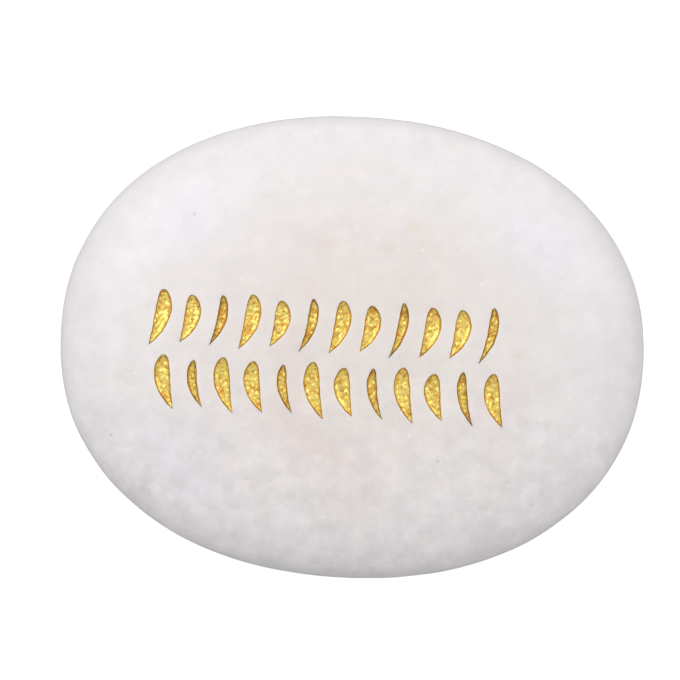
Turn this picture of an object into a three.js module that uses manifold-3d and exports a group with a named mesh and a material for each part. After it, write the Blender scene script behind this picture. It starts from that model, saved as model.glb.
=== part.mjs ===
// An oval marble pebble, tumbled smooth, with two rows of shallow strokes cut into its crown.
// Millimetres, +Z up, +X along the stone. The origin is the middle of the flat that the stone lies on.
import * as THREE from "three";
import { mergeVertices } from "three/addons/utils/BufferGeometryUtils.js";
import Module from "manifold-3d";

const wasm = await Module();
wasm.setup();

const { degToRad } = THREE.MathUtils;

// The pebble. Seen from above it is a superellipse a little fuller than an ellipse.
const LENGTH = 64;
const WIDTH = 50.6;
const THICKNESS = 17;
const OUTLINE_POWER = 2.16;

// The girdle is the pebble's widest line. It rises and falls a little round the stone.
const GIRDLE_HEIGHT = 8.2;
const GIRDLE_TILT = 0.45;
const GIRDLE_TILT_TURN = degToRad(35);
const GIRDLE_WAVE = 0.25;
const GIRDLE_WAVE_TURN = degToRad(20);

// The crown above the girdle and the belly below it are fuller than an ellipse, and the crown is
// fullest towards the side that CROWN_SWAY_TURN faces.
const CROWN_POWER = 2.35;
const CROWN_POWER_SWAY = 0.15;
const CROWN_SWAY_TURN = degToRad(-60);
const BELLY_POWER = 2.25;
const FLAT_SHARE = 0.32; // the worn flat underneath, as a share of the length and of the width

const SEGMENTS = 76; // round the pebble
const RINGS = 28; // from the flat to the top

// The two rows of strokes. They lean opposite ways and stand half a pitch apart.
const ROWS = 2;
const ROWS_LENGTH = 40.4;
const ROWS_HEIGHT = 12.9;
const ROWS_MIDDLE = new THREE.Vector2(-2.6, -1.4);
const ROW_GAP = 0.9;
const STROKES_IN_A_ROW = 12;
const STROKES_TO_A_THIN_ONE = 3;

// One stroke. It is widest near its round head, bows to one side, and narrows to its tail.
const STROKE_LEAN = degToRad(13);
const STROKE_BOW = 0.55; // how far its middle stands off the line between its ends
const STROKE_WIDTH = 1.85;
const THIN_STROKE_WIDTH = 1.2;
const STROKE_DEPTH = 0.6;
const STROKE_WIDEST_AT = 0.3; // -1 is the tail and 1 is the head
const HEAD_FULLNESS = 2.2;
const HEAD_ROUNDNESS = 0.5; // 0.5 is round, and 1 is pointed
const TAIL_FULLNESS = 1.7;
const TAIL_ROUNDNESS = 0.85;
const FLOOR_RISE_POWER = 0.4; // how the floor comes up towards the tips
const SHORTEST_STROKE = 0.82; // as a share of the row's height
const LENGTH_BEAT = 2.3; // radians from one stroke to the next, in the wave of their lengths
const STROKE_STEPS = 9;

// A cutter stands above the crown by CUTTER_RISE, and its walls lean out as they rise.
const WALL_DRAFT = Math.tan(degToRad(12));
const CUTTER_RISE = 1.2;
const THINNEST_CUTTER = 0.02;
const MERGE_DISTANCE = 1e-4;

// Height of the girdle at a turn round the stone.
function girdleHeight(turn) {
  const tilt = GIRDLE_TILT * Math.cos(turn - GIRDLE_TILT_TURN);
  const wave = GIRDLE_WAVE * Math.cos(2 * (turn - GIRDLE_WAVE_TURN));
  return GIRDLE_HEIGHT + tilt + wave;
}

function crownPower(turn) {
  return CROWN_POWER + CROWN_POWER_SWAY * Math.cos(turn - CROWN_SWAY_TURN);
}

// A point of the outline, drawn in to a share of its size.
function outlinePoint(turn, share) {
  const signedPower = (value) => Math.sign(value) * Math.abs(value) ** (2 / OUTLINE_POWER);
  const x = (LENGTH / 2) * share * signedPower(Math.cos(turn));
  const y = (WIDTH / 2) * share * signedPower(Math.sin(turn));
  return new THREE.Vector2(x, y);
}

// Height of the crown over a point, from the size and the turn of the outline through that point.
function crownHeight(x, y) {
  const alongTerm = Math.abs(x / (LENGTH / 2)) ** OUTLINE_POWER;
  const acrossTerm = Math.abs(y / (WIDTH / 2)) ** OUTLINE_POWER;
  const share = (alongTerm + acrossTerm) ** (1 / OUTLINE_POWER);
  const turn = Math.atan2(Math.sign(y) * Math.sqrt(acrossTerm), Math.sign(x) * Math.sqrt(alongTerm));
  const power = crownPower(turn);
  const girdle = girdleHeight(turn);
  return girdle + (THICKNESS - girdle) * (1 - share ** power) ** (1 / power);
}

// The pebble's surface above the girdle, by turn and by latitude on a unit ball.
function crownPoint(turn, latitude) {
  const power = crownPower(turn);
  const girdle = girdleHeight(turn);
  const flat = outlinePoint(turn, Math.cos(latitude) ** (2 / power));
  const rise = Math.sin(latitude) ** (2 / power);
  return new THREE.Vector3(flat.x, flat.y, girdle + (THICKNESS - girdle) * rise);
}

// The surface below the girdle. The ball's last ring before its pole becomes the edge of the flat, and the
// pole the middle of the flat.
function bellyPoint(turn, depth) {
  const ringStep = Math.PI / RINGS;
  const lastRing = Math.PI / 2 - ringStep;
  if (depth > lastRing + ringStep / 2) return new THREE.Vector3(0, 0, 0);
  const flatLatitude = Math.acos(FLAT_SHARE ** (BELLY_POWER / 2));
  const latitude = (depth / lastRing) * flatLatitude;
  const flat = outlinePoint(turn, Math.cos(latitude) ** (2 / BELLY_POWER));
  const drop = (Math.sin(latitude) / Math.sin(flatLatitude)) ** (2 / BELLY_POWER);
  return new THREE.Vector3(flat.x, flat.y, Math.max(0, girdleHeight(turn) * (1 - drop)));
}

// Moves every vertex of a geometry by a function of its place.
function reshape(geometry, placeOf) {
  const positions = geometry.attributes.position;
  const point = new THREE.Vector3();
  for (let i = 0; i < positions.count; i += 1) {
    point.fromBufferAttribute(positions, i);
    const moved = placeOf(point);
    positions.setXYZ(i, moved.x, moved.y, moved.z);
  }
  return geometry;
}

// A closed geometry as a solid for cutting.
function solidFrom(geometry) {
  geometry.deleteAttribute("normal");
  geometry.deleteAttribute("uv");
  const merged = mergeVertices(geometry, MERGE_DISTANCE);
  const mesh = new wasm.Mesh({
    numProp: 3,
    vertProperties: new Float32Array(merged.attributes.position.array),
    triVerts: new Uint32Array(merged.index.array),
  });
  return new wasm.Manifold(mesh);
}

// A solid as a geometry with flat faces.
function geometryFrom(solid) {
  const mesh = solid.getMesh();
  const geometry = new THREE.BufferGeometry();
  geometry.setAttribute("position", new THREE.BufferAttribute(mesh.vertProperties, 3));
  geometry.setIndex(new THREE.BufferAttribute(mesh.triVerts, 1));
  const flatFaced = geometry.toNonIndexed();
  flatFaced.computeVertexNormals();
  return flatFaced;
}

function pebble() {
  const ball = new THREE.SphereGeometry(1, SEGMENTS, RINGS);
  ball.rotateX(Math.PI / 2);
  const shaped = reshape(ball, (point) => {
    const turn = Math.atan2(point.y, point.x);
    const latitude = Math.asin(THREE.MathUtils.clamp(point.z, -1, 1));
    return latitude < 0 ? bellyPoint(turn, -latitude) : crownPoint(turn, latitude);
  });
  return solidFrom(shaped);
}

// Width of a stroke at a place along it, as a share of its widest place.
function strokeSwell(along) {
  const isHead = along > STROKE_WIDEST_AT;
  const reach = isHead ? 1 - STROKE_WIDEST_AT : 1 + STROKE_WIDEST_AT;
  const fullness = isHead ? HEAD_FULLNESS : TAIL_FULLNESS;
  const roundness = isHead ? HEAD_ROUNDNESS : TAIL_ROUNDNESS;
  const away = Math.min(1, Math.abs(along - STROKE_WIDEST_AT) / reach);
  return (1 - away ** fullness) ** roundness;
}

// One cutter: a bar bent to the stroke's bow, with its floor a stroke's depth under the crown.
function strokeCutter({ middle, length, width, lean, bow }) {
  const bar = new THREE.BoxGeometry(2, 2, 2, 1, STROKE_STEPS, 1);
  const onwardWay = new THREE.Vector2(Math.sin(lean), Math.cos(lean));
  const sideWay = new THREE.Vector2(Math.cos(lean), -Math.sin(lean));
  const shaped = reshape(bar, (point) => {
    const along = Math.sin((point.y * Math.PI) / 2); // this draws the steps closer at the tips
    const swell = strokeSwell(along);
    const rise = point.z > 0 ? CUTTER_RISE : -STROKE_DEPTH * swell ** FLOOR_RISE_POWER;
    const flare = WALL_DRAFT * rise;
    const halfWidth = Math.max((width / 2) * swell + flare, THINNEST_CUTTER);
    const side = point.x * halfWidth + bow * (1 - along ** 2);
    const onward = along * (length / 2 + Math.max(flare, 0));
    const x = middle.x + onwardWay.x * onward + sideWay.x * side;
    const y = middle.y + onwardWay.y * onward + sideWay.y * side;
    return new THREE.Vector3(x, y, crownHeight(x, y) + rise);
  });
  return solidFrom(shaped);
}

// The cutters of one row, from left to right. Their lengths rise and fall along it.
function rowOfCutters(row) {
  const rowHeight = (ROWS_HEIGHT - ROW_GAP * (ROWS - 1)) / ROWS;
  const pitch = ROWS_LENGTH / (STROKES_IN_A_ROW + (ROWS - 1) / 2);
  const rowsUp = (ROWS - 1) / 2 - row;
  const way = row % 2 ? -1 : 1;
  const cutters = [];
  for (let i = 0; i < STROKES_IN_A_ROW; i += 1) {
    const isThin = (i + row) % STROKES_TO_A_THIN_ONE === STROKES_TO_A_THIN_ONE - 1;
    const wave = 0.5 + 0.5 * Math.cos(LENGTH_BEAT * i + row);
    const height = rowHeight * (SHORTEST_STROKE + (1 - SHORTEST_STROKE) * wave);
    const x = ROWS_MIDDLE.x - ROWS_LENGTH / 2 + pitch * (i + (row + 1) / 2);
    const y = ROWS_MIDDLE.y + rowsUp * (rowHeight + ROW_GAP);
    const cutter = strokeCutter({
      middle: new THREE.Vector2(x, y),
      length: height / Math.cos(STROKE_LEAN),
      width: isThin ? THIN_STROKE_WIDTH : STROKE_WIDTH,
      lean: way * STROKE_LEAN,
      bow: way * STROKE_BOW,
    });
    cutters.push(cutter);
  }
  return cutters;
}

function engravedStone() {
  let stone = pebble();
  for (let row = 0; row < ROWS; row += 1) {
    for (const cutter of rowOfCutters(row)) {
      stone = stone.subtract(cutter);
    }
  }
  const marble = new THREE.MeshStandardMaterial({ color: 0xebe6e4, roughness: 0.38, metalness: 0 });
  const mesh = new THREE.Mesh(geometryFrom(stone), marble);
  mesh.name = "engraved_stone";
  return mesh;
}

const part = new THREE.Group();
part.add(engravedStone());

export default part;
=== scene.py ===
# The looks of an oval marble pebble with two rows of gold-painted strokes cut into its crown.
# Blender 4.5, in metres. It is laid out as an add-on and run as a script.
import math

import bpy
from bpy.props import FloatProperty, FloatVectorProperty, IntProperty, PointerProperty
from mathutils import Matrix, Vector, noise


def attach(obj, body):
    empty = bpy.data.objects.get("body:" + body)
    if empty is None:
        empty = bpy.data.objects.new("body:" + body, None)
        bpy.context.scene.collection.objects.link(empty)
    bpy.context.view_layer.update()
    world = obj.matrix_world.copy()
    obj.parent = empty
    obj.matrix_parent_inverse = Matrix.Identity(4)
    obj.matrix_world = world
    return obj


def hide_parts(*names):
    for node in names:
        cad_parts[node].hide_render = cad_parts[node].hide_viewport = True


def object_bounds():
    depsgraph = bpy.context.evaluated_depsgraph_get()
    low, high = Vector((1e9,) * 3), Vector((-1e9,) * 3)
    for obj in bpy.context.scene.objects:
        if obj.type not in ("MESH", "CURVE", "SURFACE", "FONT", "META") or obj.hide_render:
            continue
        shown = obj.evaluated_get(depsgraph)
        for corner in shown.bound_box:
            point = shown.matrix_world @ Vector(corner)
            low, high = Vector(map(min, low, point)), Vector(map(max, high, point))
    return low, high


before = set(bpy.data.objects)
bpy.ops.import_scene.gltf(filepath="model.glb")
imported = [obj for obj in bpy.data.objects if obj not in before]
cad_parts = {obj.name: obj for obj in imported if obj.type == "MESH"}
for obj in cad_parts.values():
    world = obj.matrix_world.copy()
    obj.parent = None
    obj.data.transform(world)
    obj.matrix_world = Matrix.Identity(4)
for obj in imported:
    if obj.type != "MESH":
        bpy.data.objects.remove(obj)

bl_info = {
    "name": "Engraved Marble Pebble",
    "version": (1, 0, 0),
    "blender": (4, 5, 0),
    "location": "View3D > Sidebar > Pebble",
    "description": "Models a tumbled marble pebble with gold-painted strokes, and a plain stage for it",
    "category": "Add Mesh",
}

MM = 0.001
CAD_NODE = "engraved_stone"
CAD_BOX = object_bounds()
CAD_SIZE = CAD_BOX[1] - CAD_BOX[0]

# The place of the gold in the stone's list of materials, after the marble.
GOLD = 1

# Patches in the marble, seen from above: middle x and y, half length and half width, all in millimetres,
# and turn in degrees.
# Cooler clouds: the two on the +Y side are a painted bluish reflection of a soft sheen, and the third is a
# bluer cloud in the stone.
COOL_CLOUDS_AND_PAINTED_REFLECTION = ((-18, 13, 9, 7, 35), (20, 12, 9, 6, -40), (-17, -13, 10, 7, -30))
CLEAR_PATCHES = ((-22.4, -17.2, 3.4, 1.9, -38), (-16.4, -20.7, 3.0, 1.8, -28))
# Painted glints: pale lavender patches laid into the colour where large crystal faces near the rim would
# catch the light.
PAINTED_FACET_GLINTS = (
    (-20.3, -16.3, 0.9, 1.2, 0),
    (-15.2, -18.3, 1.5, 1.4, 20),
    (-18.4, -17.2, 1.1, 0.6, -25),
)
STAINS = (
    (-25.0, -11.8, 0.7, 0.5, 0),
    (17.8, 0.1, 1.4, 0.9, 0),
    (3.2, 10.9, 1.6, 1.1, 0),
    (-3.1, 10.9, 1.3, 0.9, 0),
    (5.8, 13.3, 1.4, 1.0, 0),
)
SPECKS = (
    (-17.8, 13.4, 0.3, 0.25, 0),
    (-25.5, -11.0, 0.3, 0.3, 0),
    (9.9, -11.7, 0.3, 0.2, 0),
)


def linear(hex_colour):
    """The linear RGB of an sRGB hex colour."""
    channels = [int(hex_colour[i : i + 2], 16) / 255 for i in (0, 2, 4)]
    return tuple(c / 12.92 if c <= 0.04045 else ((c + 0.055) / 1.055) ** 2.4 for c in channels)


def length(name, description, default):
    """A property that holds a length in metres."""
    return FloatProperty(name=name, description=description, default=default, unit="LENGTH", precision=5)


def angle(name, description, degrees):
    """A property that holds an angle, given in degrees."""
    return FloatProperty(
        name=name, description=description, default=math.radians(degrees), subtype="ANGLE", unit="ROTATION"
    )


def power(name, description, default):
    """A property that holds a light's power in watts."""
    return FloatProperty(name=name, description=description, default=default, unit="POWER")


def share(name, description, default):
    """A property that holds a plain number."""
    return FloatProperty(name=name, description=description, default=default, precision=3)


def colour(name, description, hex_colour):
    """A property that holds a colour, given as sRGB hex."""
    return FloatVectorProperty(
        name=name, description=description, default=linear(hex_colour), subtype="COLOR", min=0, max=1
    )


class PebbleSizes(bpy.types.PropertyGroup):
    """Size and shape of the pebble"""

    length: length("Length", "Along the rows of strokes", CAD_SIZE.x)
    width: length("Width", "Across the rows of strokes", CAD_SIZE.y)
    thickness: length("Thickness", "From the flat underneath to the top", CAD_SIZE.z)
    outline_power: share("Outline power", "2 is an ellipse, and more is fuller", 2.16)
    girdle_height: length("Girdle height", "Mean height of the widest line", 8.2 * MM)
    girdle_tilt: length("Girdle tilt", "Rise of the girdle on one side", 0.45 * MM)
    girdle_tilt_turn: angle("Girdle tilt turn", "Side where the girdle is highest", 35)
    girdle_wave: length("Girdle wave", "Rise of the girdle at two opposite sides", 0.25 * MM)
    girdle_wave_turn: angle("Girdle wave turn", "Turn of those two sides", 20)
    crown_power: share("Crown power", "Fullness of the profile above the girdle", 2.35)
    crown_sway: share("Crown sway", "Extra fullness on one side", 0.15)
    crown_sway_turn: angle("Crown sway turn", "Side where the crown is fullest", -60)
    belly_power: share("Belly power", "Fullness of the profile below the girdle", 2.25)
    flat_share: share("Flat share", "Size of the worn flat, as a share of the outline", 0.32)
    swell_width: length("Swell width", "Spacing of the low swells that tumbling leaves", 6 * MM)
    swell_height: length("Swell height", "Height of those swells", 0.12 * MM)
    cells: IntProperty(name="Cells", description="Cells along a side of the starting cube", default=96)


class StrokeSizes(bpy.types.PropertyGroup):
    """Size and layout of the cut strokes"""

    rows: IntProperty(name="Rows", description="Rows of strokes", default=2)
    in_a_row: IntProperty(name="Strokes in a row", description="Strokes in each row", default=12)
    rows_length: length("Rows length", "Length of the block of strokes", 40.4 * MM)
    rows_height: length("Rows height", "Height of the block of strokes", 12.9 * MM)
    middle_x: length("Middle X", "Middle of the block along the stone", -2.6 * MM)
    middle_y: length("Middle Y", "Middle of the block across the stone", -1.4 * MM)
    row_gap: length("Row gap", "Bare stone between two rows", 0.9 * MM)
    lean: angle("Lean", "Lean of a stroke from upright", 13)
    bow: length("Bow", "How far a stroke's middle stands off its chord", 0.55 * MM)
    width: length("Width", "Widest place of a broad stroke", 1.85 * MM)
    thin_width: length("Thin width", "Widest place of a thin stroke", 1.2 * MM)
    thin_every: IntProperty(name="Thin every", description="One stroke in this many is thin", default=3)
    depth: length("Depth", "Depth of a stroke at its widest place", 0.6 * MM)
    wall_draft: angle("Wall draft", "Lean of the cut walls from upright", 12)
    wobble_width: length("Wobble width", "Spacing of the wobbles in a stroke's edge", 0.9 * MM)
    wobble_height: length("Wobble height", "Size of those wobbles", 0.05 * MM)
    pit_width: length("Pit width", "Spacing of the pits that blasting leaves in a floor", 0.36 * MM)
    pit_height: length("Pit height", "Height from a pit to the crest beside it", 0.1 * MM)
    cell: length("Cell", "Size of a mesh cell in a stroke's floor", 0.1 * MM)


class MarbleFinish(bpy.types.PropertyGroup):
    """Colours and grain of the polished marble"""

    milk: colour("Milk white", "Dense white calcite, away from the middle", "EFECED")
    cream: colour("Cream white", "Warmer calcite under the middle of the crown", "EBE4DF")
    blush: colour("Blush", "Faint pink clouds", "EADAD6")
    # Also the tint of the cooler clouds, two of which are a painted bluish reflection.
    cool: colour("Cool white", "Bluer calcite in clouds and in single crystals", "ECEAF3")
    warm: colour("Warm white", "Creamier calcite in single crystals", "EFE6DC")
    clear: colour("Clear grey", "Crystals that let light in, and so look greyer", "CFCAC9")
    # Painted glint: white laid into the marble's colour where small crystal faces would catch the light.
    painted_fleck_glint: colour("Fleck", "Small crystal faces that throw light back", "FFFFFF")
    # Painted glint colour for the large crystal faces near the rim.
    painted_facet_glint: colour("Facet", "Large crystal faces near the rim", "F6F4FC")
    stain: colour("Stain", "Faint iron stain", "DCCDB4")
    speck: colour("Speck", "Dark mineral specks", "9C9490")
    clearness: share("Clearness", "Mean share of clear crystals", 0.22)
    cloud_width: length("Cloud width", "Spacing of the soft clouds", 9 * MM)
    haze_width: length("Haze width", "Spacing of the finer milkiness", 2.5 * MM)
    grain_width: length("Grain width", "Size of a large calcite crystal", 1.5 * MM)
    sugar_width: length("Sugar width", "Size of a small calcite crystal", 0.6 * MM)
    fleck_spacing: length("Fleck spacing", "Spacing of the bright crystal faces", 1.4 * MM)
    light_depth: length("Light depth", "How far light travels inside the stone", 1.2 * MM)
    polish: share("Polish roughness", "Roughness of the tumbled polish", 0.36)


class GoldFinish(bpy.types.PropertyGroup):
    """Colours of the gold paint in the strokes"""

    gold: colour("Gold", "Bronze-powder gold where the paint is thick", "FBDC6E")
    ochre: colour("Ochre", "Warmer gold where the paint is thin", "EDB654")
    # Painted shade colour: darkens the pits between flakes and the steep groove walls.
    painted_shade_brown: colour("Brown", "Brown gold in the pits and on the walls", "A57E30")
    # Painted glint colour of flakes catching the light.
    glint: colour("Glint", "Pale gold of flakes that lie in the light", "FFF79C")
    patch_width: length("Patch width", "Spacing of thick and thin paint", 0.9 * MM)
    flake_width: length("Flake width", "Size of a clump of metal flakes", 0.3 * MM)
    sheen: share("Roughness", "Roughness of the dried paint", 0.34)


class StageSettings(bpy.types.PropertyGroup):
    """Floor, lights and camera"""

    sheet: colour("Sheet", "White sheet that the camera sees", "E7E7E7")
    sheet_glow: share("Sheet glow", "Light that the sheet gives off", 0.65)
    table: colour("Table", "Grey table top that throws light back at the stone", "A8A8A8")
    sky: colour("Sky", "Pale room all round", "FFFFFF")
    sky_strength: share("Sky strength", "Brightness of the room", 0.655)
    left_power: power("Left power", "Power of the left softbox", 4.0)
    right_power: power("Right power", "Power of the right softbox", 2.7)
    box_side: angle("Box side", "Turn of each softbox from the stone's far side", 55)
    box_height: angle("Box height", "Height of the softboxes above the floor", 40)
    box_distance: length("Box distance", "From the stone to each softbox", 1.0)
    box_size: length("Box size", "Side of each square softbox", 0.7)
    lens: FloatProperty(name="Lens", description="Focal length in millimetres", default=180)
    view_width: length("View width", "Width of the picture at the girdle", 74.67 * MM)
    view_turn: angle("View turn", "Turn of the camera over the stone", 3.33)
    view_right: length("View right", "How far the stone stands right of the picture's middle", 1.28 * MM)
    view_down: length("View down", "How far the stone stands below the picture's middle", 0.78 * MM)


def deselect_all():
    """Leaves object mode with nothing selected."""
    if bpy.context.object and bpy.context.object.mode != "OBJECT":
        bpy.ops.object.mode_set(mode="OBJECT")
    bpy.ops.object.select_all(action="DESELECT")


def select_only(piece):
    """Makes one object the selected and active one."""
    deselect_all()
    piece.select_set(True)
    bpy.context.view_layer.objects.active = piece


def apply_modifier(piece, kind, **settings):
    """Adds a modifier with its settings and applies it."""
    modifier = piece.modifiers.new(kind.title(), kind)
    for name, value in settings.items():
        setattr(modifier, name, value)
    select_only(piece)
    bpy.ops.object.modifier_apply(modifier=modifier.name)


def reshape(piece, place_of):
    """Moves every vertex of a piece by a function of its place."""
    for vertex in piece.data.vertices:
        vertex.co = place_of(vertex.co)
    piece.data.update()


def girdle_height(pebble, turn):
    """Height of the pebble's widest line at a turn round the stone."""
    tilt = pebble.girdle_tilt * math.cos(turn - pebble.girdle_tilt_turn)
    wave = pebble.girdle_wave * math.cos(2 * (turn - pebble.girdle_wave_turn))
    return pebble.girdle_height + tilt + wave


def crown_rise(pebble, turn, inward):
    """Height of the crown over the floor, where the outline is drawn in to a share of its size."""
    power = pebble.crown_power + pebble.crown_sway * math.cos(turn - pebble.crown_sway_turn)
    girdle = girdle_height(pebble, turn)
    return girdle + (pebble.thickness - girdle) * (1 - min(inward, 1) ** power) ** (1 / power)


def belly_drop(pebble, turn, inward):
    """Height of the belly over the floor, down to the worn flat."""
    power = pebble.belly_power
    depth = (1 - min(inward, 1) ** power) ** (1 / power)
    flat_depth = (1 - pebble.flat_share**power) ** (1 / power)
    return girdle_height(pebble, turn) * max(0, 1 - depth / flat_depth)


def pebble_point(pebble, direction):
    """The pebble's surface in a direction from a unit ball's middle."""
    turn = math.atan2(direction.y, direction.x)
    inward = math.hypot(direction.x, direction.y) / direction.length
    power = 2 / pebble.outline_power
    x = pebble.length / 2 * inward * math.copysign(abs(math.cos(turn)) ** power, direction.x)
    y = pebble.width / 2 * inward * math.copysign(abs(math.sin(turn)) ** power, direction.y)
    height = crown_rise if direction.z >= 0 else belly_drop
    return Vector((x, y, height(pebble, turn, inward)))


def crown_height(pebble, x, y):
    """Height of the crown over a point of the floor."""
    along = abs(2 * x / pebble.length) ** pebble.outline_power
    across = abs(2 * y / pebble.width) ** pebble.outline_power
    turn = math.atan2(math.copysign(math.sqrt(across), y), math.copysign(math.sqrt(along), x))
    return crown_rise(pebble, turn, (along + across) ** (1 / pebble.outline_power))


def model_pebble(pebble):
    """A cube is cut into even cells, blown up to a ball, shaped, and given the low swells of tumbling."""
    deselect_all()
    bpy.ops.mesh.primitive_cube_add(size=2)
    stone = bpy.context.object
    stone.name = "marble_pebble"
    bpy.ops.object.mode_set(mode="EDIT")
    bpy.ops.mesh.select_all(action="SELECT")
    bpy.ops.mesh.subdivide(number_cuts=pebble.cells - 1)
    bpy.ops.transform.tosphere(value=1)
    bpy.ops.object.mode_set(mode="OBJECT")
    reshape(stone, lambda place: pebble_point(pebble, place))
    swells = bpy.data.textures.new("tumbling_swells", "CLOUDS")
    swells.noise_scale = pebble.swell_width
    apply_modifier(stone, "DISPLACE", texture=swells, strength=pebble.swell_height, mid_level=0.5)
    reshape(stone, lambda place: Vector((place.x, place.y, max(place.z, 0))))
    return stone


def stroke_swell(along):
    """Width of a stroke at a place along it, from -1 at its tail to 1 at its round head."""
    widest_at = 0.3
    is_head = along > widest_at
    reach = 1 - widest_at if is_head else 1 + widest_at
    fullness = 2.2 if is_head else 1.7
    roundness = 0.5 if is_head else 0.85
    away = min(1, abs(along - widest_at) / reach)
    return (1 - away**fullness) ** roundness


def strokes_in_rows(strokes):
    """The middle, length, width, lean and bow of every stroke, row by row."""
    row_height = (strokes.rows_height - strokes.row_gap * (strokes.rows - 1)) / strokes.rows
    pitch = strokes.rows_length / (strokes.in_a_row + (strokes.rows - 1) / 2)
    shortest = 0.82
    length_beat = 2.3
    for row in range(strokes.rows):
        way = -1 if row % 2 else 1
        y = strokes.middle_y + ((strokes.rows - 1) / 2 - row) * (row_height + strokes.row_gap)
        for i in range(strokes.in_a_row):
            x = strokes.middle_x - strokes.rows_length / 2 + pitch * (i + (row + 1) / 2)
            is_thin = (i + row) % strokes.thin_every == strokes.thin_every - 1
            wave = 0.5 + 0.5 * math.cos(length_beat * i + row)
            yield {
                "middle": Vector((x, y)),
                "length": row_height * (shortest + (1 - shortest) * wave) / math.cos(strokes.lean),
                "width": strokes.thin_width if is_thin else strokes.width,
                "lean": way * strokes.lean,
                "bow": way * strokes.bow,
            }


def model_stroke_blank(strokes):
    """A thin slab whose lower face is a fine grid: it is bent and pitted into each stroke's cutter."""
    deselect_all()
    bpy.ops.mesh.primitive_grid_add(
        x_subdivisions=round(strokes.width / strokes.cell),
        y_subdivisions=round(strokes.rows_height / 2 / strokes.cell),
        size=2,
        location=(0, 0, -1),
    )
    bpy.ops.object.transform_apply(location=True)
    bpy.ops.object.mode_set(mode="EDIT")
    bpy.ops.mesh.select_all(action="SELECT")
    bpy.ops.mesh.extrude_region_move(TRANSFORM_OT_translate={"value": (0, 0, 2)})
    bpy.ops.mesh.select_all(action="SELECT")
    bpy.ops.mesh.normals_make_consistent(inside=False)
    bpy.ops.object.mode_set(mode="OBJECT")
    return bpy.context.object


def cutter_point(pebble, strokes, stroke, blank):
    """Where a point of the slab goes in one stroke's cutter."""
    rise_above = 1.2 * MM
    tip_rise = 0.4
    floor_round = 0.45
    floor_power = 3
    along = math.sin(blank.y * math.pi / 2)
    swell = stroke_swell(along)
    draft = math.tan(strokes.wall_draft)
    is_top = blank.z > 0
    floor_drop = strokes.depth * swell**tip_rise * (1 - floor_round * abs(blank.x) ** floor_power)
    rise = rise_above if is_top else -floor_drop
    onward_way = Vector((math.sin(stroke["lean"]), math.cos(stroke["lean"])))
    side_way = Vector((math.cos(stroke["lean"]), -math.sin(stroke["lean"])))
    flare = draft * (rise_above if is_top else -strokes.depth * swell**tip_rise)
    onward = along * (stroke["length"] / 2 + max(flare, 0))
    edge = math.copysign(stroke["width"] / 2 * swell, blank.x)
    rim = stroke["middle"] + onward_way * along * stroke["length"] / 2 + side_way * edge
    wobble = strokes.wobble_height * noise.noise(rim.to_3d() / strokes.wobble_width)
    half_width = max(abs(edge) + flare + wobble, 0.02 * MM)
    side = blank.x * half_width + stroke["bow"] * (1 - along**2)
    place = stroke["middle"] + onward_way * onward + side_way * side
    pits = 0
    if not is_top:
        spot = place.to_3d() / strokes.pit_width
        pits = strokes.pit_height * swell * (noise.noise(spot) + 0.5 * noise.noise(2.1 * spot))
    return Vector((place.x, place.y, crown_height(pebble, place.x, place.y) + rise + pits))


def model_cutters(pebble, strokes):
    """The slab is copied for each stroke and bent to its place, and the copies are joined."""
    blank = model_stroke_blank(strokes)
    copies = []
    for stroke in strokes_in_rows(strokes):
        copy = blank.copy()
        copy.data = blank.data.copy()
        bpy.context.collection.objects.link(copy)
        reshape(copy, lambda place: cutter_point(pebble, strokes, stroke, place))
        copies.append(copy)
    bpy.data.objects.remove(blank)
    deselect_all()
    for copy in copies:
        copy.select_set(True)
    bpy.context.view_layer.objects.active = copies[0]
    bpy.ops.object.join()
    return bpy.context.object


def in_use(sockets, key):
    """The socket at this place, or the one in use among those of this name."""
    if isinstance(key, int):
        return sockets[key]
    return next(socket for socket in sockets if socket.name == key and socket.enabled)


def add_node(tree, kind, inputs=None, **settings):
    """Adds a node with its settings, and fills its inputs. A node given as an input is linked by its first
    output in use."""
    node = tree.nodes.new(kind)
    for name, value in settings.items():
        setattr(node, name, value)
    for key, value in (inputs or {}).items():
        if isinstance(value, bpy.types.Node):
            value = next(socket for socket in value.outputs if socket.enabled)
        if isinstance(value, bpy.types.NodeSocket):
            tree.links.new(value, in_use(node.inputs, key))
        else:
            in_use(node.inputs, key).default_value = value
    return node


def new_material(name):
    """An empty node material, and its tree."""
    material = bpy.data.materials.new(name)
    material.use_nodes = True
    material.node_tree.nodes.clear()
    return material, material.node_tree


def opaque(rgb):
    """A colour with full alpha, as a colour socket wants it."""
    return (*rgb, 1)


def tinted(tree, base, layers):
    """Lays tints over a base colour, each where its amount says, and no stronger than its strength."""
    for amount, strength, tint in layers:
        covered = add_node(tree, "ShaderNodeMath", {0: amount, 1: strength}, operation="MULTIPLY")
        base = add_node(
            tree, "ShaderNodeMix", {"Factor": covered, "A": base, "B": opaque(tint)}, data_type="RGBA"
        )
    return base


def patch_mask(tree, place, pebble, patches, softness):
    """1 in the middle of each patch on the crown and 0 outside all of them."""
    mask = None
    for x, y, half_length, half_width, turn in patches:
        middle = (x * MM, y * MM, crown_height(pebble, x * MM, y * MM))
        mapped = add_node(
            tree,
            "ShaderNodeMapping",
            {
                "Vector": place,
                "Location": middle,
                "Rotation": (0, 0, math.radians(turn)),
                "Scale": (half_length * MM, half_width * MM, half_length * MM),
            },
            vector_type="TEXTURE",
        )
        away = add_node(tree, "ShaderNodeVectorMath", {0: mapped}, operation="LENGTH").outputs["Value"]
        patch = add_node(
            tree,
            "ShaderNodeMapRange",
            {"Value": away, "From Min": 1, "From Max": 1 - softness, "To Min": 0, "To Max": 1},
            interpolation_type="SMOOTHSTEP",
        )
        mask = add_node(tree, "ShaderNodeMath", {0: patch, 1: mask}, operation="MAXIMUM") if mask else patch
    return mask


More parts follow.
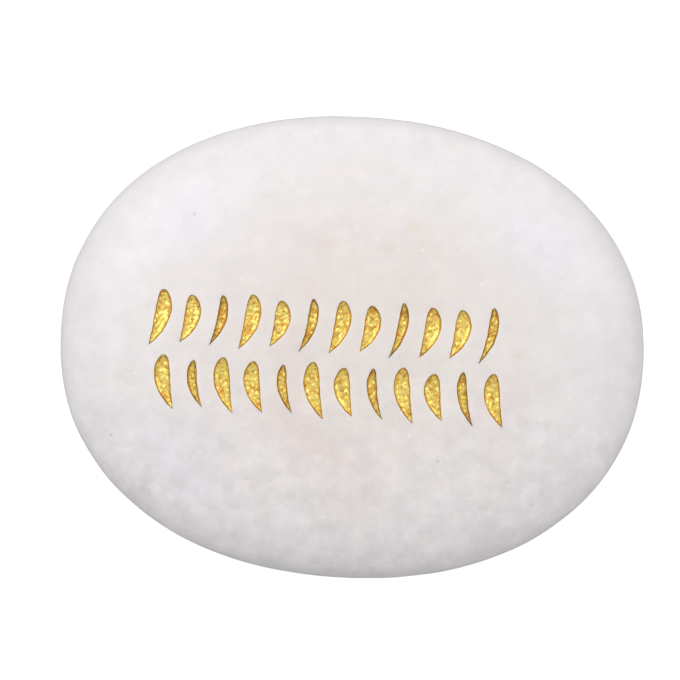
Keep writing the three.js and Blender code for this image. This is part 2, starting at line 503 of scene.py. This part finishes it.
def crystal_cells(tree, place, width):
    """Crooked cells of one width, as calcite crystals lie in marble."""
    noise_node = add_node(tree, "ShaderNodeTexNoise", {"Vector": place, "Scale": 1 / width, "Detail": 2})
    drift = 0.6 * width
    crooked = add_node(
        tree,
        "ShaderNodeVectorMath",
        {0: noise_node.outputs["Color"], 1: (drift, drift, drift), 2: place},
        operation="MULTIPLY_ADD",
    )
    return add_node(tree, "ShaderNodeTexVoronoi", {"Vector": crooked, "Scale": 1 / width})


def centred(tree, value, low, high, amount):
    """A texture's value from low to high, turned into minus to plus half an amount."""
    return add_node(
        tree,
        "ShaderNodeMapRange",
        {"Value": value, "From Min": low, "From Max": high, "To Min": -amount / 2, "To Max": amount / 2},
    )


def calcite_colour(tree, finish, pebble, place):
    """The marble's broad colour: milky, warmer in the middle, with pinker clouds and three cooler clouds,
    the two on the +Y side of the crown being a painted bluish reflection.
    """
    outline = ((0, 0, pebble.length / 2 / MM, pebble.width / 2 / MM, 0),)
    middle = patch_mask(tree, place, pebble, outline, 0.85)
    # Two of these clouds are a painted bluish reflection.
    cool = patch_mask(tree, place, pebble, COOL_CLOUDS_AND_PAINTED_REFLECTION, 1)
    clouds = add_node(
        tree, "ShaderNodeTexNoise", {"Vector": place, "Scale": 1 / finish.cloud_width, "Detail": 3}
    )
    pink = add_node(tree, "ShaderNodeMapRange", {"Value": clouds, "From Min": 0.5, "From Max": 0.72})
    pink_middle = add_node(tree, "ShaderNodeMath", {0: pink, 1: middle}, operation="MULTIPLY")
    layers = ((cool, 1, finish.cool), (middle, 1, finish.cream), (pink_middle, 1, finish.blush))
    return tinted(tree, opaque(finish.milk), layers)


def marble_material(finish, pebble):
    """White crystalline marble, tumbled and polished: soft clouds, two of them a painted bluish reflection,
    sugary crystals, painted glints of bright crystal faces, and light that goes a little way into the
    stone."""
    material, tree = new_material("polished_crystalline_marble")
    place = add_node(tree, "ShaderNodeTexCoord").outputs["Object"]
    grains = crystal_cells(tree, place, finish.grain_width)
    sugar = crystal_cells(tree, place, finish.sugar_width)
    glint_cells = crystal_cells(tree, place, finish.fleck_spacing)
    grain_tones = add_node(tree, "ShaderNodeSeparateColor", {"Color": grains.outputs["Color"]})
    sugar_tones = add_node(tree, "ShaderNodeSeparateColor", {"Color": sugar.outputs["Color"]})
    fleck_tones = add_node(tree, "ShaderNodeSeparateColor", {"Color": glint_cells.outputs["Color"]})
    haze = add_node(
        tree, "ShaderNodeTexNoise", {"Vector": place, "Scale": 1 / finish.haze_width, "Detail": 4}
    )
    across = add_node(tree, "ShaderNodeSeparateXYZ", {"Vector": place}).outputs["Y"]
    coarseness = add_node(
        tree,
        "ShaderNodeMapRange",
        {"Value": across, "From Min": 4 * MM, "From Max": -16 * MM, "To Min": 0.8, "To Max": 1.7},
        interpolation_type="SMOOTHSTEP",
    )

    cool_sugar = centred(tree, sugar_tones.outputs["Blue"], 0, 1, 0.24)
    warm_grains = centred(tree, grain_tones.outputs["Blue"], 0, 1, 0.24)

    tone = centred(tree, grain_tones.outputs["Red"], 0, 1, 0.104)
    for part in (
        centred(tree, sugar_tones.outputs["Green"], 0, 1, 0.08),
        centred(tree, haze, 0.32, 0.68, 0.19),
    ):
        tone = add_node(tree, "ShaderNodeMath", {0: tone, 1: part}, operation="ADD")
    clear = add_node(
        tree, "ShaderNodeMath", {0: tone, 1: coarseness, 2: finish.clearness}, operation="MULTIPLY_ADD"
    )
    # Painted glints: small white spots in the colour, in some of the cells, in place of crystal faces
    # catching the light.
    fleck_size = add_node(
        tree,
        "ShaderNodeMapRange",
        {"Value": fleck_tones.outputs["Blue"], "From Min": 0.45, "To Min": 0.01, "To Max": 0.2},
    )
    painted_fleck_glint = add_node(
        tree,
        "ShaderNodeMapRange",
        {"Value": glint_cells.outputs["Distance"], "From Min": fleck_size, "From Max": 0},
        interpolation_type="SMOOTHSTEP",
    )
    layers = (
        (cool_sugar, 1, finish.cool),
        (warm_grains, 1, finish.warm),
        (clear, 1, finish.clear),
        (patch_mask(tree, grains.outputs["Position"], pebble, CLEAR_PATCHES, 1), 0.3, finish.clear),
        # Painted glints of large crystal faces near the rim.
        (patch_mask(tree, sugar.outputs["Position"], pebble, PAINTED_FACET_GLINTS, 0.8), 0.4, finish.painted_facet_glint),
        # Painted glints of small crystal faces.
        (painted_fleck_glint, 0.5, finish.painted_fleck_glint),
        (patch_mask(tree, place, pebble, STAINS, 1), 0.25, finish.stain),
        (patch_mask(tree, place, pebble, SPECKS, 1), 0.4, finish.speck),
    )
    base = tinted(tree, calcite_colour(tree, finish, pebble, place), layers)

    roughness = add_node(
        tree,
        "ShaderNodeMapRange",
        {
            "Value": grain_tones.outputs["Red"],
            "To Min": finish.polish - 0.05,
            "To Max": finish.polish + 0.05,
        },
    )
    relief = add_node(
        tree, "ShaderNodeMath", {0: sugar_tones.outputs["Green"], 1: 0.4, 2: haze}, operation="MULTIPLY_ADD"
    )
    bump = add_node(tree, "ShaderNodeBump", {"Strength": 0.6, "Distance": 0.01 * MM, "Height": relief})
    shader = add_node(
        tree,
        "ShaderNodeBsdfPrincipled",
        {
            "Base Color": base,
            "Roughness": roughness,
            "IOR": 1.5,
            "Specular IOR Level": 0.35,
            "Subsurface Weight": 0.7,
            "Subsurface Radius": (1.0, 0.85, 0.75),
            "Subsurface Scale": finish.light_depth,
            "Normal": bump,
        },
    )
    add_node(tree, "ShaderNodeOutputMaterial", {"Surface": shader})
    return material


def gold_material(finish):
    """Gold paint brushed into blasted stone: bronze powder in a clear binder, so part metal and part
    colour, brighter where it is thick, with painted glints on some flakes, painted shade between them and
    painted shade on the groove walls."""
    material, tree = new_material("brushed_in_gold_paint")
    place = add_node(tree, "ShaderNodeTexCoord").outputs["Object"]
    patches = add_node(
        tree, "ShaderNodeTexNoise", {"Vector": place, "Scale": 1 / finish.patch_width, "Detail": 2}
    )
    flakes = add_node(
        tree, "ShaderNodeTexNoise", {"Vector": place, "Scale": 1 / finish.flake_width, "Detail": 3}
    )
    normal = add_node(tree, "ShaderNodeNewGeometry").outputs["Normal"]
    upright = add_node(tree, "ShaderNodeSeparateXYZ", {"Vector": normal}).outputs["Z"]
    thin = add_node(tree, "ShaderNodeMapRange", {"Value": patches, "From Min": 0.48, "From Max": 0.62})
    # Painted shade: darker specks where the flake noise is low, in place of shade between the flakes.
    pits = add_node(tree, "ShaderNodeMapRange", {"Value": flakes, "From Min": 0.44, "From Max": 0.34})
    # Painted glints: pale spots where the flake noise is high, in place of flakes catching the light.
    bright = add_node(tree, "ShaderNodeMapRange", {"Value": flakes, "From Min": 0.53, "From Max": 0.64})
    # Painted shade on the groove walls: the steeper the face, the browner.
    painted_wall_shade = add_node(tree, "ShaderNodeMapRange", {"Value": upright, "From Min": 0.7, "From Max": 0.35})
    layers = (
        (thin, 1, finish.ochre),
        (pits, 0.7, finish.painted_shade_brown),
        (bright, 0.9, finish.glint),
        (painted_wall_shade, 1, finish.painted_shade_brown),
    )
    base = tinted(tree, opaque(finish.gold), layers)
    bump = add_node(tree, "ShaderNodeBump", {"Strength": 0.8, "Distance": 0.05 * MM, "Height": flakes})
    shader = add_node(
        tree,
        "ShaderNodeBsdfPrincipled",
        {"Base Color": base, "Metallic": 0.6, "Roughness": finish.sheen, "Normal": bump},
    )
    add_node(tree, "ShaderNodeOutputMaterial", {"Surface": shader})
    return material


def table_material(name, rgb, glow):
    """Matt laminate, pale and even. With a glow it is the lit white sheet that the camera sees."""
    material, tree = new_material(name)
    shader = add_node(
        tree,
        "ShaderNodeBsdfPrincipled",
        {
            "Base Color": opaque(rgb),
            "Roughness": 0.8,
            "Specular IOR Level": 0.2,
            "Emission Color": (1, 1, 1, 1),
            "Emission Strength": glow,
        },
    )
    add_node(tree, "ShaderNodeOutputMaterial", {"Surface": shader})
    return material


class PEBBLE_OT_add_engraved_pebble(bpy.types.Operator):
    """Model the marble pebble and cut its gold-painted strokes"""

    bl_idname = "pebble.add_engraved_pebble"
    bl_label = "Add engraved pebble"

    def execute(self, context):
        scene = context.scene
        stone = model_pebble(scene.pebble_sizes)
        cutters = model_cutters(scene.pebble_sizes, scene.stroke_sizes)
        marble = marble_material(scene.marble_finish, scene.pebble_sizes)
        gold = gold_material(scene.gold_finish)
        for piece in (stone, cutters):
            piece.data.materials.append(marble)
            piece.data.materials.append(gold)
        for face in cutters.data.polygons:
            face.material_index = GOLD
        apply_modifier(
            stone, "BOOLEAN", operation="DIFFERENCE", object=cutters, solver="EXACT", material_mode="INDEX"
        )
        bpy.data.objects.remove(cutters)
        if not any(face.material_index == GOLD for face in stone.data.polygons):
            raise RuntimeError("no stroke was cut into the pebble")
        select_only(stone)
        bpy.ops.object.shade_smooth_by_angle(angle=math.radians(40))
        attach(stone, "root")
        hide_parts(CAD_NODE)
        return {"FINISHED"}


class PEBBLE_OT_add_stage(bpy.types.Operator):
    """Add a plain pale floor, soft studio light and a camera that looks straight down"""

    bl_idname = "pebble.add_stage"
    bl_label = "Add stage"

    def execute(self, context):
        stage = context.scene.stage_settings
        self.add_floor(stage)
        self.add_sky(context.scene, stage)
        self.add_softbox(stage, "left_softbox", stage.left_power, -stage.box_side)
        self.add_softbox(stage, "right_softbox", stage.right_power, stage.box_side)
        self.add_camera(context.scene, stage)
        context.scene.view_settings.view_transform = "Standard"
        return {"FINISHED"}

    def add_floor(self, stage):
        """The camera sees a lit white sheet, and the stone is lit from below by the grey table under it."""
        white = table_material("lit_white_laminate", stage.sheet, stage.sheet_glow)
        grey = table_material("grey_laminate", stage.table, 0)
        sheet = self.add_plane("sheet", -0.02 * MM, white)
        table = self.add_plane("table", -0.04 * MM, grey)
        table.visible_camera = False
        sheet.visible_diffuse = False
        sheet.visible_glossy = False
        sheet.visible_shadow = False

    def add_plane(self, name, height, material):
        deselect_all()
        bpy.ops.mesh.primitive_plane_add(size=8, location=(0, 0, height))
        plane = bpy.context.object
        plane.name = name
        plane.data.materials.append(material)
        return plane

    def add_sky(self, scene, stage):
        scene.world = bpy.data.worlds.new("pale_room")
        scene.world.use_nodes = True
        tree = scene.world.node_tree
        tree.nodes.clear()
        sky = add_node(
            tree, "ShaderNodeBackground", {"Color": opaque(stage.sky), "Strength": stage.sky_strength}
        )
        add_node(tree, "ShaderNodeOutputWorld", {"Surface": sky})

    def add_softbox(self, stage, name, watts, side):
        flat = math.cos(stage.box_height) * stage.box_distance
        height = math.sin(stage.box_height) * stage.box_distance
        place = Vector((math.sin(side) * flat, math.cos(side) * flat, height))
        bpy.ops.object.light_add(type="AREA", location=place)
        box = bpy.context.object
        box.name = name
        box.rotation_euler = (-place).to_track_quat("-Z", "Y").to_euler()
        box.data.energy = watts
        box.data.size = stage.box_size
        box.visible_camera = False

    def add_camera(self, scene, stage):
        bpy.ops.object.camera_add()
        camera = bpy.context.object
        camera.name = "camera"
        camera.data.lens = stage.lens
        turn = Matrix.Rotation(stage.view_turn, 4, "Z")
        aside = turn @ Vector((-stage.view_right, stage.view_down, 0))
        distance = stage.view_width * stage.lens / camera.data.sensor_width
        height = scene.pebble_sizes.girdle_height + distance
        camera.matrix_world = Matrix.Translation(aside + Vector((0, 0, height))) @ turn
        camera.data.clip_start = distance / 10
        camera.data.clip_end = distance * 100
        scene.camera = camera


class PEBBLE_PT_sidebar(bpy.types.Panel):
    """Sizes, finishes and stage of the engraved pebble"""

    bl_label = "Engraved Pebble"
    bl_idname = "PEBBLE_PT_sidebar"
    bl_space_type = "VIEW_3D"
    bl_region_type = "UI"
    bl_category = "Pebble"

    def draw(self, context):
        for name, heading in GROUP_HEADINGS.items():
            box = self.layout.box()
            box.label(text=heading)
            group = getattr(context.scene, name)
            for key in group.bl_rna.properties.keys():
                if key not in ("rna_type", "name"):
                    box.prop(group, key)
        for operator in OPERATORS:
            self.layout.operator(operator.bl_idname)


GROUPS = {
    "pebble_sizes": PebbleSizes,
    "stroke_sizes": StrokeSizes,
    "marble_finish": MarbleFinish,
    "gold_finish": GoldFinish,
    "stage_settings": StageSettings,
}
GROUP_HEADINGS = {
    "pebble_sizes": "Pebble",
    "stroke_sizes": "Strokes",
    "marble_finish": "Marble",
    "gold_finish": "Gold paint",
    "stage_settings": "Stage",
}
OPERATORS = (PEBBLE_OT_add_engraved_pebble, PEBBLE_OT_add_stage)


def register():
    for name, group in GROUPS.items():
        bpy.utils.register_class(group)
        setattr(bpy.types.Scene, name, PointerProperty(type=group))
    for operator in OPERATORS:
        bpy.utils.register_class(operator)
    bpy.utils.register_class(PEBBLE_PT_sidebar)


def unregister():
    bpy.utils.unregister_class(PEBBLE_PT_sidebar)
    for operator in reversed(OPERATORS):
        bpy.utils.unregister_class(operator)
    for name, group in reversed(GROUPS.items()):
        delattr(bpy.types.Scene, name)
        bpy.utils.unregister_class(group)


def main():
    register()
    bpy.ops.pebble.add_engraved_pebble()
    bpy.ops.pebble.add_stage()


if __name__ == "__main__":
    main()
